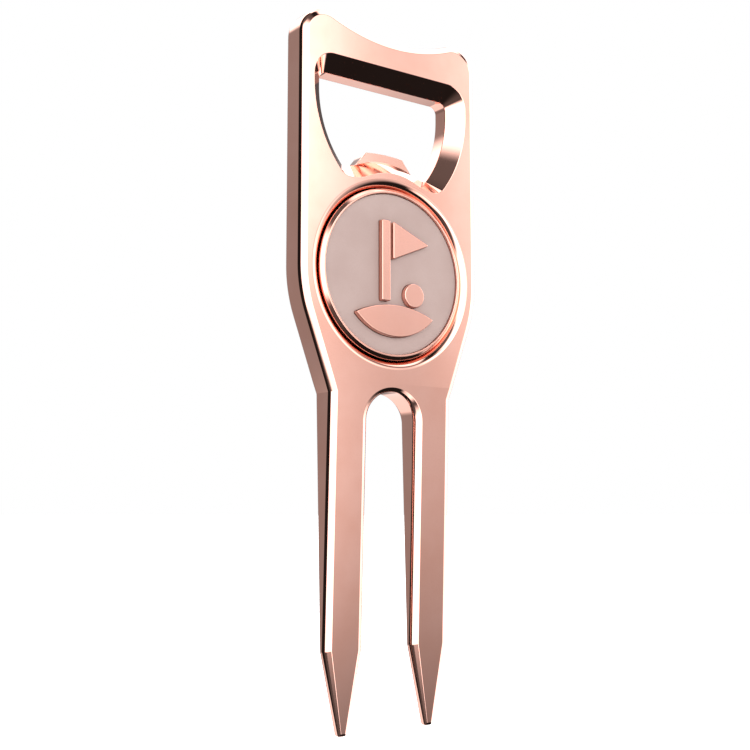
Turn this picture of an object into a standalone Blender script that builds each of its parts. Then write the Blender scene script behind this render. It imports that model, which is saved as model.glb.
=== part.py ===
"""Divot repair tool with a bottle opener and a ball marker that lifts off a magnet.

The tool stands upright on its two tines. X runs across it, Z up it, and its front faces -Y.
The origin is midway between the two tine tips, at their ends, in the middle of the thickness.
"""

import math

import bmesh
import bpy

MM = 0.001

# Body plate
HALF_WIDTH = 15.7 * MM
HALF_THICK = 2.3 * MM
EDGE_CHAMFER = 0.65 * MM
TIP_CHAMFER_SHARE = 0.5  # the chamfer narrows along the tips
RIM_ANGLE = math.radians(60)  # an edge between a face and a side wall turns more than this
HORN_RADIUS = 4.0 * MM  # the two rounded top corners
HORN_X = HALF_WIDTH - HORN_RADIUS
HORN_Z = 96.95 * MM
DIP_RADIUS = 28.0 * MM  # the hollow between them
BEND_RADIUS = 20.8 * MM  # where the straight side turns in towards the tines
BEND_Z = 64.2 * MM

# Tines
TINE_OUTER_X = 10.6 * MM
SLOT_RADIUS = 4.2 * MM
SLOT_CENTRE_Z = 42.9 * MM
SHOULDER_Z = 46.45 * MM
KNEE_Z = 11.4 * MM  # where each tine starts to narrow to its tip
TIP_HALF_WIDTH = 0.65 * MM
CREASE_Z = 48.2 * MM  # below this both faces slope in towards the tips
TAPER = 0.035  # how fast each face slopes in

# Bottle opener window
WINDOW_HALF_WIDTH = 13.7 * MM
WINDOW_TOP_Z = 94.6 * MM
WINDOW_CORNER = 3.4 * MM
WINDOW_SIDE_RADIUS = 19.0 * MM
WINDOW_SIDE_Z = 90.2 * MM
NOTCH_RADIUS = 2.35 * MM
NOTCH_Z = 77.2 * MM
HOLLOW_RADIUS = 7.8 * MM  # the curve that rises from a notch to the lip
LIP_RADIUS = 9.5 * MM
LIP_Z = 78.85 * MM
WINDOW_BEVEL = 2.2 * MM
TONGUE_TOP_Z = 82.25 * MM
TONGUE_CORNER = (3.3 * MM, 82.05 * MM)
TONGUE_FOOT_X = 4.5 * MM

# Marker pocket and its magnet
POCKET_Z = 64.1 * MM
POCKET_RADIUS = 12.9 * MM
POCKET_DEPTH = 2.3 * MM
POCKET_ROUNDING = 1.15 * MM
MAGNET_HOLE_RADIUS = 4.5 * MM
MAGNET_HOLE_DEPTH = 1.7 * MM
MAGNET_RADIUS = 4.2 * MM
MAGNET_THICK = 1.0 * MM
MAGNET_SETBACK = 0.05 * MM
ADHESIVE_THICK = 0.25 * MM
ADHESIVE_GAP = 0.2 * MM

# Ball marker
MARKER_RADIUS = 12.5 * MM
MARKER_PROUD = 0.12 * MM
MARKER_LIFT = 0.3 * MM  # clearance to the pocket's floor
RIM_WIDTH = 0.75 * MM
FIELD_SINK = 0.27 * MM  # the enamel's surface, below the tool's front face
RECESS_SINK = 0.9 * MM  # the metal floor under the enamel
ENAMEL_THICK = 0.35 * MM
ENAMEL_GAP = 0.3 * MM
EMBLEM_PROUD = 0.53 * MM
EMBLEM_ROOT = 0.4 * MM  # how far the emblem runs into the coin
RIM_ROUNDING = 0.4 * MM

FRONT_Y = -HALF_THICK
CUT_MARGIN = 1.0 * MM
ROUND_SIDES = 96
WELD = 0.000001


def arc(centre_x, centre_z, radius, start_deg, end_deg, steps):
    """Points along a circular arc, angles counted from +X towards +Z."""
    points = []
    for step in range(steps + 1):
        angle = math.radians(start_deg + (end_deg - start_deg) * step / steps)
        points.append((centre_x + radius * math.cos(angle), centre_z + radius * math.sin(angle)))
    return points


def angle_to(start, end):
    return math.degrees(math.atan2(end[1] - start[1], end[0] - start[0]))


def mirrored(right_half):
    """A closed outline from its right half, which runs from the centre line to the centre line."""
    left_half = [(-x, z) for x, z in reversed(right_half) if x > WELD]
    return right_half + left_half


def body_outline():
    """The plate's outline, from the middle of the top clockwise round to the slot's crown."""
    dip_centre = (0.0, HORN_Z + math.sqrt((DIP_RADIUS + HORN_RADIUS) ** 2 - HORN_X**2))
    horn_centre = (HORN_X, HORN_Z)
    dip_end = angle_to(dip_centre, horn_centre)
    bend_centre = (HALF_WIDTH - BEND_RADIUS, BEND_Z)
    shoulder = (TINE_OUTER_X, SHOULDER_Z)
    bend_end = angle_to(bend_centre, shoulder) + math.degrees(
        math.acos(BEND_RADIUS / math.dist(bend_centre, shoulder))
    )
    tip_x = (TINE_OUTER_X + SLOT_RADIUS) / 2
    points = arc(*dip_centre, DIP_RADIUS, -90, dip_end, 12)
    points += arc(*horn_centre, HORN_RADIUS, dip_end + 180, 0, 14)[1:]
    points += arc(*bend_centre, BEND_RADIUS, 0, bend_end, 6)
    points += [shoulder, (TINE_OUTER_X, KNEE_Z)]
    points += [(tip_x + TIP_HALF_WIDTH, 0.0), (tip_x - TIP_HALF_WIDTH, 0.0)]
    points += [(SLOT_RADIUS, KNEE_Z)]
    points += arc(0.0, SLOT_CENTRE_Z, SLOT_RADIUS, 0, 90, 14)
    return mirrored(points)


def window_outline(inset, tongue):
    """The window's outline moved inwards by inset, with or without the tongue's top edge."""
    side_centre = (WINDOW_HALF_WIDTH - WINDOW_SIDE_RADIUS, WINDOW_SIDE_Z)
    notch_rise = WINDOW_SIDE_Z - NOTCH_Z - NOTCH_RADIUS
    notch_x = side_centre[0] + math.sqrt((WINDOW_SIDE_RADIUS - NOTCH_RADIUS) ** 2 - notch_rise**2)
    notch_centre = (notch_x, NOTCH_Z + NOTCH_RADIUS)
    lip_centre = (0.0, LIP_Z - LIP_RADIUS)
    hollow_rise = NOTCH_Z + HOLLOW_RADIUS - lip_centre[1]
    hollow_x = math.sqrt((HOLLOW_RADIUS + LIP_RADIUS) ** 2 - hollow_rise**2)
    hollow_centre = (hollow_x, NOTCH_Z + HOLLOW_RADIUS)
    side_end = angle_to(side_centre, notch_centre)
    lip_end = angle_to(lip_centre, hollow_centre)
    corner_x = WINDOW_HALF_WIDTH - WINDOW_CORNER
    corner_z = WINDOW_TOP_Z - WINDOW_CORNER
    points = [(0.0, WINDOW_TOP_Z - inset)]
    points += arc(corner_x, corner_z, WINDOW_CORNER - inset, 90, 0, 8)
    points += arc(*side_centre, WINDOW_SIDE_RADIUS - inset, 0, side_end, 12)
    points += arc(*notch_centre, NOTCH_RADIUS - inset, side_end, -90, 6)[1:]
    points += arc(*hollow_centre, HOLLOW_RADIUS - inset, -90, lip_end - 180, 6)[1:]
    if tongue:
        points = [(x, z) for x, z in points if x > TONGUE_FOOT_X or z > TONGUE_TOP_Z]
        points += [TONGUE_CORNER, (0.0, TONGUE_TOP_Z)]
    else:
        points += arc(*lip_centre, LIP_RADIUS + inset, lip_end, 90, 6)[1:]
    return mirrored(points)


def collection(name):
    made = bpy.data.collections.new(name)
    bpy.context.scene.collection.children.link(made)
    return made


def surface(name, colour, roughness, metallic=1.0):
    material = bpy.data.materials.new(name)
    material.use_nodes = True
    shader = material.node_tree.nodes["Principled BSDF"]
    shader.inputs["Base Color"].default_value = (*colour, 1.0)
    shader.inputs["Roughness"].default_value = roughness
    shader.inputs["Metallic"].default_value = metallic
    return material


def link_mesh(name, mesh, group, material=None):
    made = bpy.data.objects.new(name, mesh)
    group.objects.link(made)
    if material:
        mesh.materials.append(material)
    return made


def plate(name, outlines, y_low, y_high, group, offset=0.0):
    """A flat plate between two planes facing -Y, from closed outlines in X and Z."""
    curve = bpy.data.curves.new(name, "CURVE")
    curve.dimensions = "2D"
    curve.fill_mode = "BOTH"
    curve.extrude = (y_high - y_low) / 2
    curve.offset = offset
    for outline in outlines:
        spline = curve.splines.new("POLY")
        spline.points.add(len(outline) - 1)
        for point, (x, z) in zip(spline.points, outline):
            point.co = (x, z, 0.0, 1.0)
        spline.use_cyclic_u = True
    drawn = bpy.data.objects.new(name + "_curve", curve)
    group.objects.link(drawn)
    drawn.rotation_euler = (math.pi / 2, 0.0, 0.0)
    drawn.location = (0.0, (y_low + y_high) / 2, 0.0)
    bpy.context.view_layer.update()
    graph = bpy.context.evaluated_depsgraph_get()
    mesh = bpy.data.meshes.new_from_object(drawn.evaluated_get(graph))
    mesh.transform(drawn.matrix_world)
    bpy.data.objects.remove(drawn)
    shape = bmesh.new()
    shape.from_mesh(mesh)
    bmesh.ops.remove_doubles(shape, verts=shape.verts, dist=WELD)
    bmesh.ops.recalc_face_normals(shape, faces=shape.faces)
    shape.to_mesh(mesh)
    shape.free()
    return link_mesh(name, mesh, group)


def turned(name, profile, centre_z, group):
    """A solid turned about an axis along Y through (0, centre_z), from (radius, y) points."""
    shape = bmesh.new()
    verts = [shape.verts.new((radius, 0.0, y)) for radius, y in profile]
    for first, second in zip(verts, verts[1:]):
        shape.edges.new((first, second))
    mesh = bpy.data.meshes.new(name)
    shape.to_mesh(mesh)
    shape.free()
    made = link_mesh(name, mesh, group)
    screw = made.modifiers.new("turn", "SCREW")
    screw.axis = "Z"
    screw.steps = screw.render_steps = ROUND_SIDES
    screw.use_merge_vertices = True
    screw.merge_threshold = WELD
    # The profile is drawn with its y as height, so a quarter turn about X lays the axis along Y.
    made.rotation_euler = (-math.pi / 2, 0.0, 0.0)
    made.location = (0.0, 0.0, centre_z)
    return made


def lofted(name, outline_a, y_a, outline_b, y_b, group):
    """A solid between two outlines with equal numbers of points on two planes."""
    shape = bmesh.new()
    ends = []
    for outline, y in ((outline_a, y_a), (outline_b, y_b)):
        ends.append([shape.verts.new((x, y, z)) for x, z in outline])
        shape.faces.new(ends[-1])
    count = len(outline_a)
    for index in range(count):
        after = (index + 1) % count
        shape.faces.new((ends[0][index], ends[0][after], ends[1][after], ends[1][index]))
    bmesh.ops.recalc_face_normals(shape, faces=shape.faces)
    mesh = bpy.data.meshes.new(name)
    shape.to_mesh(mesh)
    shape.free()
    return link_mesh(name, mesh, group)


def as_cutter(made):
    made.hide_render = True
    made.display_type = "WIRE"
    return made


def boolean(target, other, operation):
    modifier = target.modifiers.new(other.name, "BOOLEAN")
    modifier.operation = operation
    modifier.solver = "EXACT"
    modifier.object = other


def half_thickness(z):
    return HALF_THICK - TAPER * max(0.0, CREASE_Z - z)


def build_body(parts, cutters, material):
    """The one-piece casting: opener window, marker pocket and two tapered tines."""
    body = plate("tool_body", [body_outline()], -HALF_THICK, HALF_THICK, parts)
    body.data.materials.append(material)
    shape = bmesh.new()
    shape.from_mesh(body.data)
    bmesh.ops.bisect_plane(
        shape,
        geom=shape.verts[:] + shape.edges[:] + shape.faces[:],
        plane_co=(0.0, 0.0, CREASE_Z),
        plane_no=(0.0, 0.0, 1.0),
        dist=WELD,
    )
    for vert in shape.verts:
        vert.co.y = math.copysign(half_thickness(vert.co.z), vert.co.y)
    bmesh.ops.dissolve_limit(
        shape, angle_limit=math.radians(0.5), verts=shape.verts, edges=shape.edges
    )
    chamfer_share = shape.edges.layers.float.new("bevel_weight_edge")
    for edge in shape.edges:
        first, second = (vert.co for vert in edge.verts)
        on_rim = edge.calc_face_angle(0.0) > RIM_ANGLE and first.y * second.y > 0.0
        at_tip = min(first.z, second.z) < WELD
        edge[chamfer_share] = on_rim * (TIP_CHAMFER_SHARE if at_tip else 1.0)
    shape.to_mesh(body.data)
    shape.free()
    rim = body.modifiers.new("edge chamfer", "BEVEL")
    rim.width = EDGE_CHAMFER
    rim.segments = 1
    rim.limit_method = "WEIGHT"
    rim.use_clamp_overlap = False

    flare = lofted(
        "window_flare",
        window_outline(-CUT_MARGIN, tongue=False),
        FRONT_Y - CUT_MARGIN,
        window_outline(WINDOW_BEVEL, tongue=False),
        FRONT_Y + WINDOW_BEVEL,
        cutters,
    )
    through = plate(
        "window_through",
        [window_outline(WINDOW_BEVEL, tongue=True)],
        FRONT_Y - CUT_MARGIN,
        HALF_THICK + CUT_MARGIN,
        cutters,
    )
    rounding = arc(
        POCKET_RADIUS + POCKET_ROUNDING, FRONT_Y + POCKET_ROUNDING, POCKET_ROUNDING, 180, 270, 6
    )
    floor_y = FRONT_Y + POCKET_DEPTH
    hole_y = floor_y + MAGNET_HOLE_DEPTH
    profile = [(0.0, hole_y), (MAGNET_HOLE_RADIUS, hole_y), (MAGNET_HOLE_RADIUS, floor_y)]
    profile += [(POCKET_RADIUS, floor_y)] + rounding
    profile += [(rounding[-1][0], FRONT_Y - CUT_MARGIN), (0.0, FRONT_Y - CUT_MARGIN)]
    pocket = turned("pocket_cutter", profile, POCKET_Z, cutters)
    for cutter in (flare, through, pocket):
        boolean(body, as_cutter(cutter), "DIFFERENCE")
    body.data.shade_flat()
    return body


def disc(name, radius, y_front, y_back, group, material):
    """A plain round disc whose axis runs along Y through the pocket's centre."""
    mesh = bpy.data.meshes.new(name)
    shape = bmesh.new()
    bmesh.ops.create_cone(
        shape,
        cap_ends=True,
        segments=ROUND_SIDES // 2,
        radius1=radius,
        radius2=radius,
        depth=y_back - y_front,
    )
    shape.to_mesh(mesh)
    shape.free()
    made = link_mesh(name, mesh, group, material)
    made.rotation_euler = (math.pi / 2, 0.0, 0.0)
    made.location = (0.0, (y_front + y_back) / 2, POCKET_Z)
    return made


def emblem_outlines():
    """A flag on its stick over a mound of green, with a ball beside it."""
    stick = [(-2.4, -4.1), (-0.9, -4.1), (-0.9, 7.6), (-2.4, 7.6)]
    pennant = [(-0.4, 2.0), (6.2, 4.8), (-0.4, 7.6)]
    ball = arc(3.4, -2.9, 1.75, 0, 345, 23)
    mound = arc(0.0, -20.4, 15.8, 64.4, 115.6, 16) + arc(0.0, 0.0, 9.2, 222, 318, 16)
    return [
        [(x * MM, z * MM + POCKET_Z) for x, z in outline]
        for outline in (stick, pennant, ball, mound)
    ]


def build_marker(parts, cutters, material):
    """The struck coin: a raised rim, a sunk floor and an emblem that stands on the floor."""
    front_y = FRONT_Y - MARKER_PROUD
    floor_y = FRONT_Y + RECESS_SINK
    back_y = FRONT_Y + POCKET_DEPTH - MARKER_LIFT
    recess_radius = MARKER_RADIUS - RIM_WIDTH
    rounding = arc(MARKER_RADIUS - RIM_ROUNDING, front_y + RIM_ROUNDING, RIM_ROUNDING, 0, -90, 4)
    profile = [(0.0, back_y), (MARKER_RADIUS, back_y)] + rounding
    profile += [(recess_radius, front_y), (recess_radius, floor_y), (0.0, floor_y)]
    marker = turned("ball_marker", profile, POCKET_Z, parts)
    marker.data.materials.append(material)
    for index, outline in enumerate(emblem_outlines()):
        raised = plate(
            f"emblem_{index}", [outline], FRONT_Y - EMBLEM_PROUD, floor_y + EMBLEM_ROOT, cutters
        )
        boolean(marker, as_cutter(raised), "UNION")
    return marker


def build_enamel(parts, cutters, material):
    """The enamel that fills the coin's floor round the emblem."""
    front_y = FRONT_Y + FIELD_SINK
    radius = MARKER_RADIUS - RIM_WIDTH - ENAMEL_GAP
    enamel = disc("marker_enamel", radius, front_y, front_y + ENAMEL_THICK, parts, material)
    for index, outline in enumerate(emblem_outlines()):
        window = plate(
            f"emblem_gap_{index}",
            [outline],
            front_y - CUT_MARGIN,
            front_y + ENAMEL_THICK + CUT_MARGIN,
            cutters,
            offset=ENAMEL_GAP,
        )
        boolean(enamel, as_cutter(window), "DIFFERENCE")
    return enamel


def build_magnet(parts, steel, resin):
    """The disc magnet, and the spot of resin between it and the bottom of its hole."""
    front_y = FRONT_Y + POCKET_DEPTH + MAGNET_SETBACK
    back_y = front_y + MAGNET_THICK
    disc("marker_magnet", MAGNET_RADIUS, front_y, back_y, parts, steel)
    resin_y = back_y + ADHESIVE_GAP
    disc("magnet_adhesive", MAGNET_RADIUS, resin_y, resin_y + ADHESIVE_THICK, parts, resin)


for leftover in list(bpy.data.objects):
    bpy.data.objects.remove(leftover)

tool_parts = collection("divot_repair_tool")
tool_cutters = collection("cutters")
rose_plate = surface("rose_gold_plated_zinc", (0.93, 0.58, 0.49), 0.1)
struck_rose = surface("rose_gold_plated_iron", (0.91, 0.55, 0.45), 0.14)
matte_enamel = surface("greige_soft_enamel", (0.60, 0.47, 0.43), 0.55, metallic=0.0)
nickel = surface("nickel_plated_neodymium", (0.70, 0.68, 0.64), 0.25)
epoxy = surface("clear_epoxy", (0.78, 0.70, 0.48), 0.3, metallic=0.0)

build_body(tool_parts, tool_cutters, rose_plate)
build_marker(tool_parts, tool_cutters, struck_rose)
build_enamel(tool_parts, tool_cutters, matte_enamel)
build_magnet(tool_parts, nickel, epoxy)
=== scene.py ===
# %% [markdown]
# # A rose gold divot repair tool
# A golfer carries this tool to lever up the dents that a ball leaves on a green. It is one zinc
# casting with two tines, a bottle opener window and a round pocket, and a coin sits in the pocket
# on a magnet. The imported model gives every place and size, and this lesson gives the surfaces.

# %% Load the frame
import math

import bmesh
import bpy
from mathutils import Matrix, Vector
from mathutils.geometry import tessellate_polygon


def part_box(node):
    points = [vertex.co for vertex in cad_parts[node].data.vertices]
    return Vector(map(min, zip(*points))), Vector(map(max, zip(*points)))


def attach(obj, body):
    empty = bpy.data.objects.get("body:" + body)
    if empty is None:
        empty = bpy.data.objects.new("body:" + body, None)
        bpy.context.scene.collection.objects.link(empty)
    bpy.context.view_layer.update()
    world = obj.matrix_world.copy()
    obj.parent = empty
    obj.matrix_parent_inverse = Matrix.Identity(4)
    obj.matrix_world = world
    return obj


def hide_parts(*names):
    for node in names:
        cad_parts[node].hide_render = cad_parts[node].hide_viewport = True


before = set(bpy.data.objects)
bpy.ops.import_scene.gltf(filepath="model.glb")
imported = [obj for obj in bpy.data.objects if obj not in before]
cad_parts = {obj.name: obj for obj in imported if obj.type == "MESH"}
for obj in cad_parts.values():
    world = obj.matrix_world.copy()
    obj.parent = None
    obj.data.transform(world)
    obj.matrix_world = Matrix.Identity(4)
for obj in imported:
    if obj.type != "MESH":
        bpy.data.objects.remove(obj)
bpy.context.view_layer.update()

# %% [markdown]
# ## Driving sizes
# Everything below is drawn in millimetres and scaled once, when a mesh is written. The outer sizes
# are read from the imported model, so the fine surface can't drift away from it, and the rest are the
# sizes of a tool that takes a 25 mm marker coin.

# %% Sizes from the frame, in millimetres
MM = 0.001
body_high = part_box("tool_body")[1] / MM
coin_low, coin_high = (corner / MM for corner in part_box("ball_marker"))
magnet_low, magnet_high = (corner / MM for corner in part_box("marker_magnet"))

HALF_WIDTH = body_high.x
HALF_THICK = body_high.y
HORN_RADIUS = 4.0
HORN_X = HALF_WIDTH - HORN_RADIUS
HORN_Z = body_high.z - HORN_RADIUS
COIN_RADIUS = coin_high.x
COIN_Z = (coin_low.z + coin_high.z) / 2
EMBLEM_HEIGHT = -coin_low.y - HALF_THICK  # heights count from the tool's flat front face
COIN_BACK = -coin_high.y - HALF_THICK
MAGNET_FRONT = -magnet_low.y - HALF_THICK
MAGNET_BACK = -magnet_high.y - HALF_THICK
print(f"tool {2 * HALF_WIDTH:.1f} x {body_high.z:.1f} mm, coin {2 * COIN_RADIUS:.1f} mm at {COIN_Z:.1f}")

# %% [markdown]
# ## Outlines that know which way they face
# A mirror-polished plate shows every error in its surface normals, so each outline point carries
# the direction its wall faces. An arc knows it exactly, and so does a straight run between two
# arcs. Outlines run clockwise, seen from the front, and a wall faces to the left of its travel.

# %% Arcs, rounded corners and mirrored halves
def arc(centre, radius, start, end, steps):
    """Points (x, z, facing) on an arc from start to end degrees."""
    points = []
    for step in range(steps + 1):
        angle = math.radians(start + (end - start) * step / steps)
        x = centre[0] + radius * math.cos(angle)
        z = centre[1] + radius * math.sin(angle)
        points.append((x, z, angle if end < start else angle + math.pi))
    return points


def corner(before, at, after, radius, steps=None):
    """Points that round the corner between two straight runs."""
    arriving = math.atan2(at[1] - before[1], at[0] - before[0])
    leaving = math.atan2(after[1] - at[1], after[0] - at[0])
    turn = math.remainder(leaving - arriving, 2 * math.pi)
    steps = steps or 4 + round(8 * radius * abs(turn))
    reach = radius * math.tan(abs(turn) / 2)
    side = -math.copysign(radius, turn)
    facing = arriving + math.pi / 2
    centre_x = at[0] - reach * math.cos(arriving) - side * math.cos(facing)
    centre_z = at[1] - reach * math.sin(arriving) - side * math.sin(facing)
    points = []
    for step in range(steps + 1):
        angle = facing + turn * step / steps
        points.append((centre_x + side * math.cos(angle), centre_z + side * math.sin(angle), angle))
    return points


def rounded(corners, radii, closed=False):
    """A path through corners, each rounded to its radius. An open path keeps its two ends."""
    last = len(corners) - 1
    points = []
    for index in range(0 if closed else 1, last + 1 if closed else last):
        around = (corners[index - 1], corners[index], corners[(index + 1) % (last + 1)])
        points += corner(*around, radii[index])
    if not closed:
        points.insert(0, (*corners[0], points[0][2]))
        points.append((*corners[-1], points[-1][2]))
    return points


def mirrored(right_half):
    """A closed outline from its right half, which starts and ends on the centre line."""
    return right_half + [(-x, z, math.pi - facing) for x, z, facing in reversed(right_half) if x > 1e-6]


def angle_to(start, end):
    return math.degrees(math.atan2(end[1] - start[1], end[0] - start[0]))


# %% [markdown]
# ## A skin of rings
# Boolean cuts leave ragged faces that spoil a mirror finish. Here each surface is a ladder of rings
# with equal numbers of points, and the flat faces are filled between the last rings. The normals go
# in with the points, so flat stays dead flat and only the small rounded edges bend the light.

# %% The skin that every metal piece is made with
class Skin:
    """Points with normals, in millimetres, and the faces between them."""

    def __init__(self):
        self.points = []
        self.normals = []
        self.faces = []

    def ring(self, points, normals):
        first = len(self.points)
        self.points += points
        self.normals += normals
        return list(range(first, len(self.points)))

    def bridge(self, rings):
        for near, far in zip(rings, rings[1:]):
            count = len(near)
            for index in range(count):
                after = (index + 1) % count
                self.faces.append((near[index], near[after], far[after], far[index]))

    def fill(self, *rings):
        """A flat face inside the first ring, with the other rings as its holes."""
        flat = [[Vector((self.points[i][0], self.points[i][2], 0)) for i in ring] for ring in rings]
        members = [index for ring in rings for index in ring]
        for triangle in tessellate_polygon(flat):
            self.faces.append(tuple(members[index] for index in triangle))

    def to_object(self, name, material):
        mesh = bpy.data.meshes.new(name)
        mesh.from_pydata([Vector(point) * MM for point in self.points], [], self.faces)
        shape = bmesh.new()
        shape.from_mesh(mesh)
        bmesh.ops.recalc_face_normals(shape, faces=shape.faces)
        open_edges = sum(not edge.is_manifold for edge in shape.edges)
        shape.to_mesh(mesh)
        shape.free()
        mesh.shade_smooth()
        mesh.normals_split_custom_set_from_vertices([Vector(n).normalized() for n in self.normals])
        mesh.materials.append(material)
        made = bpy.data.objects.new(name, mesh)
        bpy.context.scene.collection.objects.link(made)
        print(f"{name}: {len(mesh.polygons)} faces, {open_edges} open edges")
        return made


# %% [markdown]
# ## The plate's two faces
# Above the crease the plate has one thickness. Below it both faces slope in, so the tines are thin
# enough at their tips to slide into turf. The edge chamfer narrows with them.

# %% Thickness, slope and chamfer along the tool
CREASE_Z = 48.2
CREASE_BLEND = 0.08
TAPER = 0.035
KNEE_Z = 11.4
TIP_SHARE = 0.38
SLOT_RADIUS = 4.2
SLOT_CENTRE_Z = 42.9
CROWN_LOSS = 0.42
CHAMFER_ACROSS = 1.02
CHAMFER_DOWN = 0.475
FACE_EDGE_RADIUS = 0.3
# How far inside the outline the flat face ends: the chamfer's width and the rounding beside it.
CHAMFER_TILT = math.atan2(CHAMFER_DOWN, CHAMFER_ACROSS)
FACE_INSET = CHAMFER_ACROSS + FACE_EDGE_RADIUS * math.tan(CHAMFER_TILT / 2)


def half_thickness(z):
    return HALF_THICK - TAPER * max(0.0, CREASE_Z - z)


def slope(z):
    return TAPER if z < CREASE_Z else 0.0


def share(x, z):
    """How much of its full width the edge chamfer has: less at the tips and at the slot's crown."""
    if abs(x) <= SLOT_RADIUS and SLOT_CENTRE_Z < z < CREASE_Z:
        return 1 - CROWN_LOSS * ((z - SLOT_CENTRE_Z) / SLOT_RADIUS) ** 2
    return TIP_SHARE + (1 - TIP_SHARE) * min(1.0, z / KNEE_Z)


def sweep(skin, outline, profile, front, hole=False):
    """Rings that follow an outline. The profile holds (out, height, tilt) from the flat face down."""
    rings = []
    for out, height, tilt in profile:
        points = []
        normals = []
        for x, z, facing in outline:
            sign = -1 if hole else 1
            across = sign * math.cos(facing), sign * math.sin(facing)
            size = share(x, z)
            grown = (x + out * size * across[0], z + out * size * across[1])
            y = half_thickness(grown[1]) + height * size
            lean = -slope(grown[1]) * math.sin(tilt)
            points.append((grown[0], -y if front else y, grown[1]))
            facing_y = -math.sin(tilt) if front else math.sin(tilt)
            normals.append((across[0] * math.cos(tilt), facing_y, across[1] * math.cos(tilt) + lean))
        rings.append(skin.ring(points, normals))
    return rings


def turn(skin, path, centre_z, sides=144):
    """Rings about an axis along Y. The path holds (radius, height, facing) from the inside out."""
    rings = []
    for radius, height, facing in path:
        points = []
        normals = []
        for side in range(sides):
            angle = 2 * math.pi * side / sides
            x, z = math.cos(angle), math.sin(angle)
            points.append((radius * x, -(HALF_THICK + height), centre_z + radius * z))
            normals.append((x * math.cos(facing), -math.sin(facing), z * math.cos(facing)))
        rings.append(skin.ring(points, normals))
    return rings


# %% [markdown]
# ## Outline of the casting
# Two horns with a hollow between them make the top. The sides run straight down past the pocket,
# curve in to the shoulders, and become the tines, with a round-ended slot between them.

# %% The casting's outline
DIP_RADIUS = 28.0
BEND_RADIUS = 20.8
BEND_Z = 64.2
TINE_OUTER_X = 10.6
SHOULDER_Z = 46.45
TIP_HALF_WIDTH = 0.65
KNEE_RADIUS = 1.2
TIP_RADIUS = 0.36
SHOULDER_RADIUS = 0.4


def body_outline():
    horn_centre = (HORN_X, HORN_Z)
    dip_centre = (0.0, HORN_Z + math.sqrt((DIP_RADIUS + HORN_RADIUS) ** 2 - HORN_X**2))
    dip_end = angle_to(dip_centre, horn_centre)
    bend_centre = (HALF_WIDTH - BEND_RADIUS, BEND_Z)
    shoulder = (TINE_OUTER_X, SHOULDER_Z)
    reach = math.acos(BEND_RADIUS / math.dist(bend_centre, shoulder))
    bend_end = angle_to(bend_centre, shoulder) + math.degrees(reach)
    tip_x = (TINE_OUTER_X + SLOT_RADIUS) / 2
    points = arc(dip_centre, DIP_RADIUS, -90, dip_end, 16)
    points += arc(horn_centre, HORN_RADIUS, dip_end + 180, 0, 30)[1:]
    points += arc(bend_centre, BEND_RADIUS, 0, bend_end, 16)
    start = points[-1]
    for face_z in (CREASE_Z + CREASE_BLEND, CREASE_Z - CREASE_BLEND):
        z = face_z + FACE_INSET * math.sin(start[2])
        along = (z - start[1]) / (shoulder[1] - start[1])
        points.append((start[0] + along * (shoulder[0] - start[0]), z, start[2]))
    outer_knee = (TINE_OUTER_X, KNEE_Z)
    outer_tip = (tip_x + TIP_HALF_WIDTH, 0.0)
    inner_tip = (tip_x - TIP_HALF_WIDTH, 0.0)
    inner_knee = (SLOT_RADIUS, KNEE_Z)
    slot_start = (SLOT_RADIUS, SLOT_CENTRE_Z)
    points += corner(points[-1], shoulder, outer_knee, SHOULDER_RADIUS)
    points += corner(shoulder, outer_knee, outer_tip, KNEE_RADIUS)
    points += corner(outer_knee, outer_tip, inner_tip, TIP_RADIUS, 6)
    points += corner(outer_tip, inner_tip, inner_knee, TIP_RADIUS, 6)
    points += corner(inner_tip, inner_knee, slot_start, KNEE_RADIUS)
    points += arc((0.0, SLOT_CENTRE_Z), SLOT_RADIUS, 0, 90, 24)
    return mirrored(points)


print("casting outline:", len(body_outline()), "points")

# %% [markdown]
# ## Outline of the opener window
# The window is the hole that a crown cap's edge goes into. Its sides lean in to two notches, and
# between them a lip rises, which hooks under the cap. Behind the lip a thin tongue stands up.

# %% The window's outline, with the lip or with the tongue
WINDOW_HALF_WIDTH = 13.7
WINDOW_TOP_Z = 94.6
WINDOW_CORNER = 3.4
WINDOW_SIDE_RADIUS = 19.0
WINDOW_SIDE_Z = 90.2
NOTCH_RADIUS = 2.35
NOTCH_Z = 77.2
HOLLOW_RADIUS = 7.8
LIP_RADIUS = 9.5
LIP_Z = 78.85
WINDOW_BEVEL = 2.2
TONGUE_CORNER = (3.3, 82.05)
TONGUE_TOP_Z = 82.25
TONGUE_STEPS = 12


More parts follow.
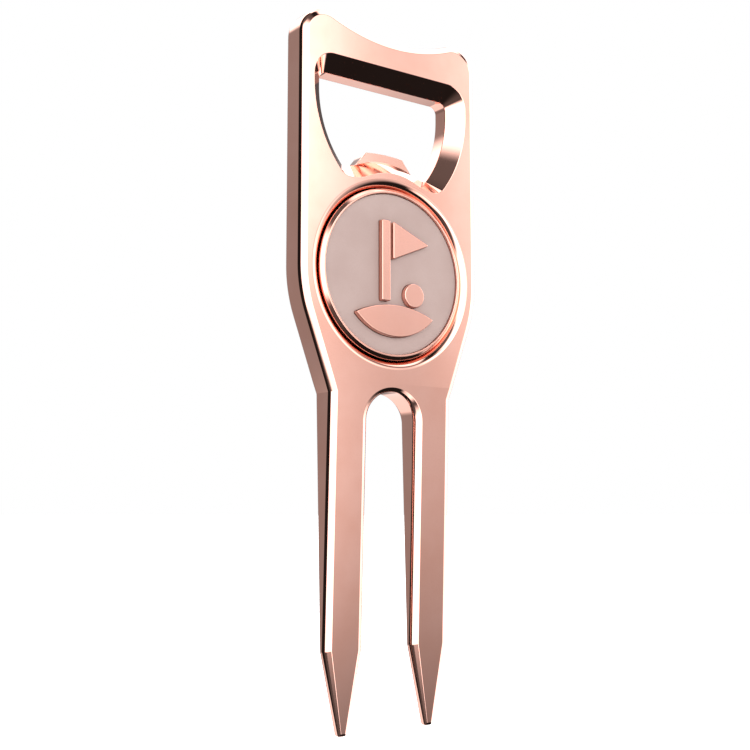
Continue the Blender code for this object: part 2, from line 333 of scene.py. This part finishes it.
def window_half():
    """The right half from the top centre to the foot of the lip, and the lip itself."""
    side_centre = (WINDOW_HALF_WIDTH - WINDOW_SIDE_RADIUS, WINDOW_SIDE_Z)
    notch_rise = WINDOW_SIDE_Z - NOTCH_Z - NOTCH_RADIUS
    notch_x = side_centre[0] + math.sqrt((WINDOW_SIDE_RADIUS - NOTCH_RADIUS) ** 2 - notch_rise**2)
    notch_centre = (notch_x, NOTCH_Z + NOTCH_RADIUS)
    lip_centre = (0.0, LIP_Z - LIP_RADIUS)
    hollow_rise = NOTCH_Z + HOLLOW_RADIUS - lip_centre[1]
    hollow_centre = (math.sqrt((HOLLOW_RADIUS + LIP_RADIUS) ** 2 - hollow_rise**2), NOTCH_Z + HOLLOW_RADIUS)
    side_end = angle_to(side_centre, notch_centre)
    lip_end = angle_to(lip_centre, hollow_centre)
    corner_centre = (WINDOW_HALF_WIDTH - WINDOW_CORNER, WINDOW_TOP_Z - WINDOW_CORNER)
    points = [(0.0, WINDOW_TOP_Z, math.pi / 2)]
    points += arc(corner_centre, WINDOW_CORNER, 90, 0, 20)
    points += arc(side_centre, WINDOW_SIDE_RADIUS, 0, side_end, 24)
    points += arc(notch_centre, NOTCH_RADIUS, side_end, -90, 12)[1:]
    points += arc(hollow_centre, HOLLOW_RADIUS, -90, lip_end - 180, 10)[1:]
    return points, arc(lip_centre, LIP_RADIUS, lip_end, 90, TONGUE_STEPS)[1:]


def tongue_half(foot):
    """The tongue's edge from its foot to the top centre, with as many points as the lip."""
    sagitta = TONGUE_TOP_Z - TONGUE_CORNER[1]
    radius = (TONGUE_CORNER[0] ** 2 + sagitta**2) / (2 * sagitta)
    spread = math.degrees(math.asin(TONGUE_CORNER[0] / radius))
    crown = arc((0.0, TONGUE_TOP_Z - radius), radius, 90 - spread, 90, TONGUE_STEPS - 5)
    return corner(foot, TONGUE_CORNER, crown[1], 0.25, steps=4) + crown[1:]


window_sides, window_lip = window_half()
print("window outline:", len(window_sides) + len(window_lip), "points in its right half")

# %% [markdown]
# ## Adding nodes, and colours
# A material here is a small network of nodes. One function adds any kind of node, sets it up and
# links it. Colours are written as the usual sRGB hex values, which Blender needs as linear light.
# The sizes of the patterns are given in real millimetres.

# %% Node and colour helpers
def add_node(tree, kind, inputs=None, **settings):
    """Adds a node. Inputs are values, or the output sockets of other nodes to link from."""
    made = tree.nodes.new(kind)
    for name, value in settings.items():
        setattr(made, name, value)
    for socket, value in (inputs or {}).items():
        if isinstance(value, bpy.types.NodeSocket):
            tree.links.new(value, made.inputs[socket])
        else:
            made.inputs[socket].default_value = value
    return made


def linear(hex_colour):
    """An sRGB hex colour as linear red, green, blue and alpha."""
    channels = [int(hex_colour[start : start + 2], 16) / 255 for start in (1, 3, 5)]
    return (*[c / 12.92 if c <= 0.04045 else ((c + 0.055) / 1.055) ** 2.4 for c in channels], 1.0)


def ramp(made, stops):
    """Sets a Color Ramp node's stops from (position, value or colour) pairs."""
    elements = made.color_ramp.elements
    for element, (position, value) in zip([elements[0], elements[1]], (stops[0], stops[-1])):
        element.position = position
        element.color = value if isinstance(value, tuple) else (value, value, value, 1.0)
    for position, value in stops[1:-1]:
        element = elements.new(position)
        element.color = value if isinstance(value, tuple) else (value, value, value, 1.0)


def new_material(name):
    material = bpy.data.materials.new(name)
    material.use_nodes = True
    tree = material.node_tree
    return material, tree, tree.nodes["Principled BSDF"]


def noise(tree, place, size_mm, detail, roughness=0.5):
    """A noise pattern whose patches are about size_mm across."""
    inputs = {"Vector": place, "Scale": 1 / (size_mm * MM), "Detail": detail, "Roughness": roughness}
    return add_node(tree, "ShaderNodeTexNoise", inputs).outputs["Fac"]


def tint(tree, shader, pattern, stops):
    """Colours a shader by a pattern."""
    tone = add_node(tree, "ShaderNodeValToRGB", {"Fac": pattern})
    ramp(tone, stops)
    tree.links.new(tone.outputs["Color"], shader.inputs["Base Color"])


def relief(tree, pattern, strength, depth_mm, **under):
    """The normal of a pattern that stands depth_mm high, over another one if that is given."""
    inputs = {"Height": pattern, "Strength": strength, "Distance": depth_mm * MM, **under}
    return add_node(tree, "ShaderNodeBump", inputs).outputs["Normal"]


# %% [markdown]
# ## Rose gold plating on polished zinc
# Rose gold is gold with copper in it, and here it is a few thousandths of a millimetre of plate on a
# casting that was tumbled and buffed. A metal's colour is the colour of its reflections, so the base
# colour is strong, the metallic value is 1 and the roughness is low. What gives the eye metal, and
# not tinted glass, is the last trace of work: fine buffing lines that run down the tool, a faint
# ripple left by the casting, and duller, slightly browner patches where fingers hold it.

# %% Rose gold plate
BUFF_STRETCH = 40  # how many times longer than wide a buffing line is
PATCH_MM = 9
RIPPLE_MM = 3


def rose_gold(name, colour, worn_colour, roughness, haze, buff_mm=0.12):
    material, tree, shader = new_material(name)
    place = add_node(tree, "ShaderNodeTexCoord").outputs["Object"]

    # Buffing lines: noise that is fine across the tool and long down it.
    stretched = add_node(tree, "ShaderNodeMapping", {"Vector": place, "Scale": (1, 1, 1 / BUFF_STRETCH)})
    lines = noise(tree, stretched.outputs["Vector"], buff_mm, 2.0, 0.6)
    # Handling: soft patches.
    patches = noise(tree, place, PATCH_MM, 3.0, 0.55)
    # Casting ripple: very shallow waves.
    ripple = noise(tree, place, RIPPLE_MM, 1.0, 0.4)

    tint(tree, shader, patches, [(0.38, linear(colour)), (0.72, linear(worn_colour))])
    hazing = {"Value": patches, "From Min": 0.35, "From Max": 0.75, "To Min": roughness, "To Max": haze}
    hazed = add_node(tree, "ShaderNodeMapRange", hazing)
    lined = add_node(
        tree,
        "ShaderNodeMath",
        {0: lines, 1: 0.5 * roughness, 2: hazed.outputs["Result"]},
        operation="MULTIPLY_ADD",
    )
    tree.links.new(lined.outputs["Value"], shader.inputs["Roughness"])

    waves = relief(tree, ripple, 0.12, 0.003)
    buffed = relief(tree, lines, 0.1, 0.0015, Normal=waves)
    tree.links.new(buffed, shader.inputs["Normal"])
    shader.inputs["Metallic"].default_value = 1.0
    return material


plated_zinc = rose_gold("rose_gold_plate_on_buffed_zinc", "#F9C1B1", "#F1B5A3", 0.05, 0.085)
plated_iron = rose_gold("rose_gold_plate_on_struck_iron", "#F6BCAC", "#EDB09E", 0.08, 0.12, buff_mm=0.2)
print("plating materials:", plated_zinc.name, plated_iron.name)

# %% [markdown]
# ## The casting
# The perimeter goes from the flat front face over a wide chamfer to the side wall, then over the
# same chamfer to the back. The chamfer's two edges are rounded, the outer one most, because the
# buffing wheel rides on it, and those thin rounds draw the dark and bright lines along the tool.

# %% Perimeter of the casting
WALL_EDGE_RADIUS = 0.8
FAR = 9.0  # longer than any run that a rounded corner is cut from


def edge_profile(across, down, face_radius, wall_radius):
    """(out, height, tilt) from the flat face over a chamfer to the wall."""
    path = [(-FAR, 0.0), (-across, 0.0), (0.0, -down), (0.0, -FAR)]
    return rounded(path, [0.0, face_radius, wall_radius, 0.0])[1:-1]


casting = Skin()
outline = body_outline()
profile = edge_profile(CHAMFER_ACROSS, CHAMFER_DOWN, FACE_EDGE_RADIUS, WALL_EDGE_RADIUS)
front_rings = sweep(casting, outline, profile, front=True)
back_rings = sweep(casting, outline, profile, front=False)
casting.bridge(front_rings + back_rings[::-1])
print("perimeter rings:", len(front_rings) + len(back_rings))

# %% [markdown]
# ## The window, its lip and the tongue
# The window's front edge is a broad bevel at 45 degrees, down to about half the thickness, and from
# there a straight wall runs to the back. At the lip the wall steps out first, as a flat shelf, and
# that shelf is the tongue. So each ring below the bevel takes its points from the tongue where the
# lip is, and from the wall everywhere else.

# %% Window surfaces
window_outline = mirrored(window_sides + window_lip)
foot_x = window_sides[-1][0]
on_lip = [abs(x) < foot_x - 1e-6 and z < WINDOW_SIDE_Z for x, z, _ in window_outline]


def window_ring(outline, wall_step, tongue_step):
    """One ring whose points follow the tongue where the lip is, and the wall elsewhere."""
    wall, tongue = Skin(), Skin()
    sweep(wall, outline, [wall_step], front=True, hole=True)
    sweep(tongue, outline, [tongue_step], front=True, hole=True)
    points = [b if lip else a for a, b, lip in zip(wall.points, tongue.points, on_lip)]
    normals = [b if lip else a for a, b, lip in zip(wall.normals, tongue.normals, on_lip)]
    return casting.ring(points, normals)


WINDOW_EDGE_RADIUS = 0.18
WINDOW_BACK_RADIUS = 0.2
TONGUE_FOOT_RADIUS = 0.25
TONGUE_EDGE_RADIUS = 0.12
WALL_START = 2 * TONGUE_EDGE_RADIUS + 0.1
bevel = rounded(
    [(-FAR, 0.0), (0.0, 0.0), (WINDOW_BEVEL, -WINDOW_BEVEL)], [0.0, WINDOW_EDGE_RADIUS, 0.0]
)[1:-1]
window_rings = sweep(casting, window_outline, bevel, front=True, hole=True)

# The foot of the bevel turns down into the wall, or out onto the tongue.
bevel_foot = (WINDOW_BEVEL, -WINDOW_BEVEL)
to_wall = corner((0.0, 0.0), bevel_foot, (WINDOW_BEVEL, -FAR), WINDOW_EDGE_RADIUS, steps=4)
to_tongue = corner((0.0, 0.0), bevel_foot, (FAR, -WINDOW_BEVEL), TONGUE_FOOT_RADIUS, steps=4)
for wall_step, tongue_step in zip(to_wall, to_tongue):
    window_rings.append(window_ring(window_outline, wall_step, tongue_step))

# From there on the rings follow the through hole: its wall, and the tongue's edge.
def moved_in(point):
    x, z, facing = point
    return (x - WINDOW_BEVEL * math.cos(facing), z - WINDOW_BEVEL * math.sin(facing), facing)


wall_half = [moved_in(point) for point in window_sides]
through_outline = mirrored(wall_half + tongue_half(wall_half[-1][:2]))
shelf_edge = corner(
    (-FAR, -WINDOW_BEVEL), (0.0, -WINDOW_BEVEL), (0.0, -FAR), TONGUE_EDGE_RADIUS, steps=4
)
for tongue_step in shelf_edge:
    wall_step = (0.0, tongue_step[1] - WALL_START, 0.0)
    window_rings.append(window_ring(through_outline, wall_step, tongue_step))
back_edge = corner((-FAR, 0.0), (0.0, 0.0), (0.0, -FAR), WINDOW_BACK_RADIUS)
window_back = sweep(casting, through_outline, back_edge, front=False, hole=True)
casting.bridge(window_rings + window_back[::-1])
print("window rings:", len(window_rings) + len(window_back))

# %% [markdown]
# ## The marker's pocket
# The pocket is turned about one axis, so its section is drawn once as radius against height: the
# magnet's hole, the floor, the wall and a wide round-over at the mouth that catches a ring of light.

# %% Pocket, then the flat faces
POCKET_RADIUS = 12.6
POCKET_FLOOR = -2.3
MOUTH_RADIUS = 1.35
MAGNET_HOLE_RADIUS = 4.5
MAGNET_HOLE_FLOOR = -4.0
pocket_path = rounded(
    [
        (0.0, MAGNET_HOLE_FLOOR),
        (MAGNET_HOLE_RADIUS, MAGNET_HOLE_FLOOR),
        (MAGNET_HOLE_RADIUS, POCKET_FLOOR),
        (POCKET_RADIUS, POCKET_FLOOR),
        (POCKET_RADIUS, 0.0),
        (POCKET_RADIUS + FAR, 0.0),
    ],
    [0.0, 0.1, 0.15, 0.3, MOUTH_RADIUS, 0.0],
)[1:-1]
pocket_rings = turn(casting, pocket_path, COIN_Z)
casting.bridge(pocket_rings)
casting.fill(pocket_rings[0])


def fill_face(edge_ring, holes):
    """The flat face above the crease with its holes, the crease, and the sloping face below it."""
    upper = [index for index in edge_ring if casting.points[index][2] > CREASE_Z]
    lower = [index for index in edge_ring if casting.points[index][2] < CREASE_Z]
    casting.fill(upper, *holes)
    casting.fill(lower)
    right = max(upper, key=lambda index: (casting.points[index][0] > 0, -casting.points[index][2]))
    left = max(upper, key=lambda index: (casting.points[index][0] < 0, -casting.points[index][2]))
    casting.faces.append((right, lower[0], lower[-1], left))


fill_face(front_rings[0], [window_rings[0], pocket_rings[-1]])
fill_face(back_rings[0], [window_back[0]])
tool_casting = casting.to_object("plated_casting", plated_zinc)

# %% [markdown]
# ## The ball marker
# The coin is struck in soft iron, so that the magnet holds it, and plated like the tool. Its rim
# and emblem are left high and its floor is sunk. The emblem is a plain flag with a ball on a mound.

# %% Emblem outlines
def emblem_outlines():
    stick = rounded([(-2.4, 7.6), (-0.9, 7.6), (-0.9, -4.1), (-2.4, -4.1)], [0.2] * 4, closed=True)
    pennant = rounded([(-0.4, 7.6), (6.2, 4.8), (-0.4, 2.0)], [0.2] * 3, closed=True)
    ball = arc((3.4, -2.9), 1.75, 360, 0, 48)[:-1]
    crest = arc((0.0, -20.4), 15.8, 115.6, 64.4, 24)
    base = arc((0.0, 0.0), 9.2, 318, 222, 32)
    right_tip = corner(crest[-2], base[0], base[1], 0.2)
    left_tip = corner(base[-2], base[-1], crest[1], 0.2)
    mound = crest[1:-1] + right_tip + base[1:-1] + left_tip
    return [
        [(x, z + COIN_Z, facing) for x, z, facing in outline]
        for outline in (stick, pennant, ball, mound)
    ]


emblem = emblem_outlines()
print("emblem outlines:", [len(outline) for outline in emblem], "points")

# %% The coin
RIM_HEIGHT = 0.12
RECESS_HEIGHT = -0.9
RIM_INNER_RADIUS = COIN_RADIUS - 0.78
RIM_BEVEL_ACROSS = 0.5
RIM_BEVEL_DOWN = 0.4
EMBLEM_EDGE = 0.12
coin = Skin()
coin_path = rounded(
    [
        (0.0, RECESS_HEIGHT),
        (RIM_INNER_RADIUS, RECESS_HEIGHT),
        (RIM_INNER_RADIUS, RIM_HEIGHT),
        (COIN_RADIUS - RIM_BEVEL_ACROSS, RIM_HEIGHT),
        (COIN_RADIUS, RIM_HEIGHT - RIM_BEVEL_DOWN),
        (COIN_RADIUS, COIN_BACK),
        (0.0, COIN_BACK),
    ],
    [0.0, 0.1, 0.1, 0.15, 0.2, 0.25, 0.0],
)[1:-1]
coin_rings = turn(coin, coin_path, COIN_Z)
coin.bridge(coin_rings)
emblem_edge = corner((-FAR, EMBLEM_HEIGHT), (0.0, EMBLEM_HEIGHT), (0.0, -FAR), EMBLEM_EDGE)
emblem_feet = []
for outline in emblem:
    rings = sweep(coin, outline, emblem_edge + [(0.0, RECESS_HEIGHT, 0.0)], front=True)
    coin.bridge(rings)
    coin.fill(rings[0])
    emblem_feet.append(rings[-1])
coin.fill(coin_rings[0], *emblem_feet)
coin.fill(coin_rings[-1])
marker_coin = coin.to_object("struck_marker_coin", plated_iron)

# %% [markdown]
# ## Soft enamel in the coin's floor
# Soft enamel is coloured resin that is dripped into the sunk floor and baked. It dries matte and a
# little grainy, and it shrinks, so it lies lower than the metal and leaves a fine groove round it.

# %% Enamel material
GRAIN_MM = 0.16
CLOUD_MM = 5


def soft_enamel(name, colour, deep_colour):
    material, tree, shader = new_material(name)
    place = add_node(tree, "ShaderNodeTexCoord").outputs["Object"]
    grain = noise(tree, place, GRAIN_MM, 3.0, 0.7)
    cloud = noise(tree, place, CLOUD_MM, 2.0)
    blend = add_node(tree, "ShaderNodeMath", {0: grain, 1: cloud}, operation="MULTIPLY")
    tint(tree, shader, blend.outputs["Value"], [(0.12, linear(deep_colour)), (0.36, linear(colour))])
    drying = {"Value": grain, "From Min": 0.3, "From Max": 0.7, "To Min": 0.5, "To Max": 0.62}
    rough = add_node(tree, "ShaderNodeMapRange", drying)
    tree.links.new(rough.outputs["Result"], shader.inputs["Roughness"])
    tree.links.new(relief(tree, grain, 0.25, 0.01), shader.inputs["Normal"])
    shader.inputs["IOR"].default_value = 1.5
    return material


baked_enamel = soft_enamel("baked_soft_enamel", "#9A857F", "#937D77")

# %% Enamel shape
ENAMEL_HEIGHT = -0.27
ENAMEL_THICK = 0.35
GROOVE = 0.03
ENAMEL_EDGE = 0.07
enamel = Skin()
foot = ENAMEL_HEIGHT - ENAMEL_THICK
radius = RIM_INNER_RADIUS - GROOVE
enamel_path = rounded(
    [(0.0, ENAMEL_HEIGHT), (radius, ENAMEL_HEIGHT), (radius, foot), (0.0, foot)],
    [0.0, ENAMEL_EDGE, ENAMEL_EDGE, 0.0],
)[1:-1]
enamel_rings = turn(enamel, enamel_path, COIN_Z)
enamel.bridge(enamel_rings)
top_edge = corner((-FAR, ENAMEL_HEIGHT), (-GROOVE, ENAMEL_HEIGHT), (-GROOVE, -FAR), ENAMEL_EDGE)
top_holes = []
foot_holes = []
for outline in emblem:
    rings = sweep(enamel, outline, top_edge + [(-GROOVE, foot, 0.0)], front=True, hole=True)
    enamel.bridge(rings)
    top_holes.append(rings[0])
    foot_holes.append(rings[-1])
enamel.fill(enamel_rings[0], *top_holes)
enamel.fill(enamel_rings[-1], *foot_holes)
enamel_fill = enamel.to_object("baked_enamel_fill", baked_enamel)

# %% [markdown]
# ## Magnet and resin
# A neodymium disc rusts, so it is always nickel plated: a cooler, greyer metal than rose gold. It is
# pressed from powder and tumbled, which leaves rounded edges. A spot of clear epoxy holds it.

# %% Magnet and its resin
TUMBLING_MM = 0.4
FLOW_MM = 1.5
MAGNET_EDGE = 0.2


def nickel_plate(name):
    material, tree, shader = new_material(name)
    place = add_node(tree, "ShaderNodeTexCoord").outputs["Object"]
    tumbled = noise(tree, place, TUMBLING_MM, 4.0, 0.6)
    tint(tree, shader, tumbled, [(0.35, linear("#C9C4B8")), (0.65, linear("#DDD9CF"))])
    rough = add_node(tree, "ShaderNodeMapRange", {"Value": tumbled, "To Min": 0.12, "To Max": 0.3})
    tree.links.new(rough.outputs["Result"], shader.inputs["Roughness"])
    tree.links.new(relief(tree, tumbled, 0.2, 0.01), shader.inputs["Normal"])
    shader.inputs["Metallic"].default_value = 1.0
    return material


def clear_epoxy(name):
    material, tree, shader = new_material(name)
    place = add_node(tree, "ShaderNodeTexCoord").outputs["Object"]
    cloudy = noise(tree, place, FLOW_MM, 3.0)
    tint(tree, shader, cloudy, [(0.3, linear("#C9B47C")), (0.7, linear("#DCCB9A"))])
    tree.links.new(relief(tree, cloudy, 0.3, 0.02), shader.inputs["Normal"])
    shader.inputs["Roughness"].default_value = 0.18
    shader.inputs["IOR"].default_value = 1.55
    return material


magnet = Skin()
magnet_path = rounded(
    [(0.0, MAGNET_FRONT), (magnet_high.x, MAGNET_FRONT), (magnet_high.x, MAGNET_BACK), (0.0, MAGNET_BACK)],
    [0.0, MAGNET_EDGE, MAGNET_EDGE, 0.0],
)[1:-1]
magnet_rings = turn(magnet, magnet_path, COIN_Z, sides=96)
magnet.bridge(magnet_rings)
magnet.fill(magnet_rings[0])
magnet.fill(magnet_rings[-1])
magnet_disc = magnet.to_object("nickel_plated_magnet", nickel_plate("nickel_plate_on_sintered_neodymium"))
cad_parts["magnet_adhesive"].data.materials.clear()
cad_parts["magnet_adhesive"].data.materials.append(clear_epoxy("cured_clear_epoxy"))

# %% [markdown]
# ## What moves with what
# The casting and its magnet are one body. The coin and its enamel are the other, and it lifts
# straight out of the pocket.

# %% Bodies, and hiding the imported pieces that these meshes replace
for piece, body, node_name, slot in (
    (tool_casting, "tool", "tool_body", "rose_gold_plated_zinc"),
    (magnet_disc, "tool", "marker_magnet", "nickel_plated_neodymium"),
    (marker_coin, "marker", "ball_marker", "rose_gold_plated_iron"),
    (enamel_fill, "marker", "marker_enamel", "greige_soft_enamel"),
):
    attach(piece, body)
    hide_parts(node_name)

# %% [markdown]
# ## Floor, light and camera
# A mirror finish shows its surroundings, so the studio is drawn as the sky: soft panels of light
# in a dark room, each given by where it hangs and how wide it is. They were placed for the
# camera's side of the tool, so other sides are lit less evenly. The floor is matte and pale, and it
# is kept out of the reflections, so that the panels alone draw the metal.

# %% Floor
FLOOR_RADIUS = 6.0  # metres
FLOOR_GAP = 0.2  # millimetres below the tips
MOTTLE_MM = 25


def pale_floor():
    material, tree, shader = new_material("pale_studio_floor")
    place = add_node(tree, "ShaderNodeTexCoord").outputs["Object"]
    tint(tree, shader, noise(tree, place, MOTTLE_MM, 4.0), [(0.3, 0.78), (0.7, 0.8)])
    shader.inputs["Roughness"].default_value = 0.9
    shader.inputs["Emission Color"].default_value = (1.0, 1.0, 1.0, 1.0)
    shader.inputs["Emission Strength"].default_value = 0.9
    return material


bpy.ops.mesh.primitive_circle_add(
    vertices=64, radius=FLOOR_RADIUS, fill_type="NGON", location=(0, 0, -FLOOR_GAP * MM)
)
floor = bpy.context.object
floor.name = "studio_floor"
floor.data.materials.append(pale_floor())
floor.visible_glossy = False

# %% Studio
# Each panel: the azimuth it spans and its softness, the elevation it spans and its softness, in
# degrees, then its brightness. Azimuth 0 is straight in front of the tool and 90 is to its right.
PANELS = (
    ((-57, 17, 5), (-17, 42, 8), 2.8),  # the key panel, front left
    ((3, 26, 5), (-37, -12, 4), 2.0),  # its foot
    ((-80, 5, 8), (40, 72, 10), 0.13),  # the dim wall above it
    ((-5, 85, 6), (-11, 34, 13), 0.68),  # white wall, front right
    ((-5, 85, 6), (13, 34, 9), 0.37),  # and its brighter upper half
    ((22, 32.5, 6), (-11, 34, 10), 0.85),  # a narrow panel against that wall
    ((22, 31.5, 5.5), (13, 34, 5), 1.9),  # and its brighter upper half
    ((42.5, 104, 6), (4, 27, 6), 1.5),  # panel on the right
    ((36, 112, 8), (45, 70, 5), 2.4),  # high panel, right
    ((83, 112, 4), (-26, 32, 4), 2.2),  # strip on the right
    ((98, 136, 4), (27, 68, 4), 2.4),  # high panel, back right
    ((104, 144, 5), (-5, 27, 5), 0.09),  # the dim wall below it
    ((142, 222, 5), (33, 87, 5), 2.4),  # high panel, behind
    ((-5, 225, 12), (72, 90, 4), 2.4),  # overhead panel
    ((142, 224, 5), (-18, 33, 3), 0.33),  # grey wall, behind
    ((138, 224, 8), (-57, -19, 5), 1.2),  # its white foot
    ((95, 135, 6), (-76, -55, 4), 3.2),  # reflector on the floor, back right
    ((106, 130, 6), (-30, -4, 6), 0.35),  # low panel, back right
    ((-75, 0, 10), (-45, -17, 12), 0.09),  # dim floor in front
)
ROOM = 0.015  # how bright the room is between the panels


def soft_band(tree, angle, low, high, soft):
    """1 inside the span, 0 outside it, with smooth edges. Spans may pass the half turn."""
    middle = math.radians((low + high) / 2)
    half = math.radians((high - low) / 2)
    away = add_node(tree, "ShaderNodeMath", {0: angle, 1: middle}, operation="SUBTRACT")
    turned = add_node(tree, "ShaderNodeMath", {0: away.outputs[0], 1: math.pi, 2: -math.pi}, operation="WRAP")
    size = add_node(tree, "ShaderNodeMath", {0: turned.outputs[0]}, operation="ABSOLUTE")
    spread = math.radians(soft)
    span = {"Value": size.outputs[0], "From Min": half - spread, "From Max": half + spread}
    span.update({"To Min": 1.0, "To Max": 0.0})
    return add_node(tree, "ShaderNodeMapRange", span, interpolation_type="SMOOTHSTEP").outputs["Result"]


world = bpy.data.worlds.new("studio")
world.use_nodes = True
bpy.context.scene.world = world
tree = world.node_tree
tree.nodes.clear()
way = add_node(tree, "ShaderNodeTexCoord").outputs["Generated"]
axes = add_node(tree, "ShaderNodeSeparateXYZ", {"Vector": way}).outputs
forward = add_node(tree, "ShaderNodeMath", {0: axes["Y"], 1: -1.0}, operation="MULTIPLY").outputs[0]
azimuth = add_node(tree, "ShaderNodeMath", {0: axes["X"], 1: forward}, operation="ARCTAN2").outputs[0]
elevation = add_node(tree, "ShaderNodeMath", {0: axes["Z"]}, operation="ARCSINE").outputs[0]
light = ROOM
for sideways, upright, brightness in PANELS:
    across = soft_band(tree, azimuth, *sideways)
    up = soft_band(tree, elevation, *upright)
    panel = add_node(tree, "ShaderNodeMath", {0: across, 1: up}, operation="MULTIPLY").outputs[0]
    light = add_node(
        tree, "ShaderNodeMath", {0: panel, 1: brightness, 2: light}, operation="MULTIPLY_ADD"
    ).outputs[0]
lit_room = add_node(tree, "ShaderNodeBackground", {"Color": (1.0, 1.0, 1.0, 1.0), "Strength": light})
backdrop = add_node(tree, "ShaderNodeBackground", {"Color": (1.0, 1.0, 1.0, 1.0)})
seen = add_node(tree, "ShaderNodeLightPath").outputs["Is Camera Ray"]
mixed = add_node(tree, "ShaderNodeMixShader", {0: seen, 1: lit_room.outputs[0], 2: backdrop.outputs[0]})
add_node(tree, "ShaderNodeOutputWorld", {"Surface": mixed.outputs[0]})
print("studio panels:", len(PANELS))

# %% Camera
CAMERA_PLACE = (-97.9, -133.4, 30.5)
CAMERA_AIM = (-3.3, -2.3, 49.26)
LENS_MM = 55.59
SENSOR_MM = 36.0
camera_data = bpy.data.cameras.new("camera")
camera_data.lens = LENS_MM
camera_data.sensor_width = SENSOR_MM
camera_data.clip_start = 0.005
camera = bpy.data.objects.new("camera", camera_data)
bpy.context.scene.collection.objects.link(camera)
camera.location = Vector(CAMERA_PLACE) * MM
aim = Vector(CAMERA_AIM) * MM
camera.rotation_euler = (aim - camera.location).to_track_quat("-Z", "Y").to_euler()
bpy.context.scene.camera = camera
bpy.context.scene.view_settings.view_transform = "Standard"
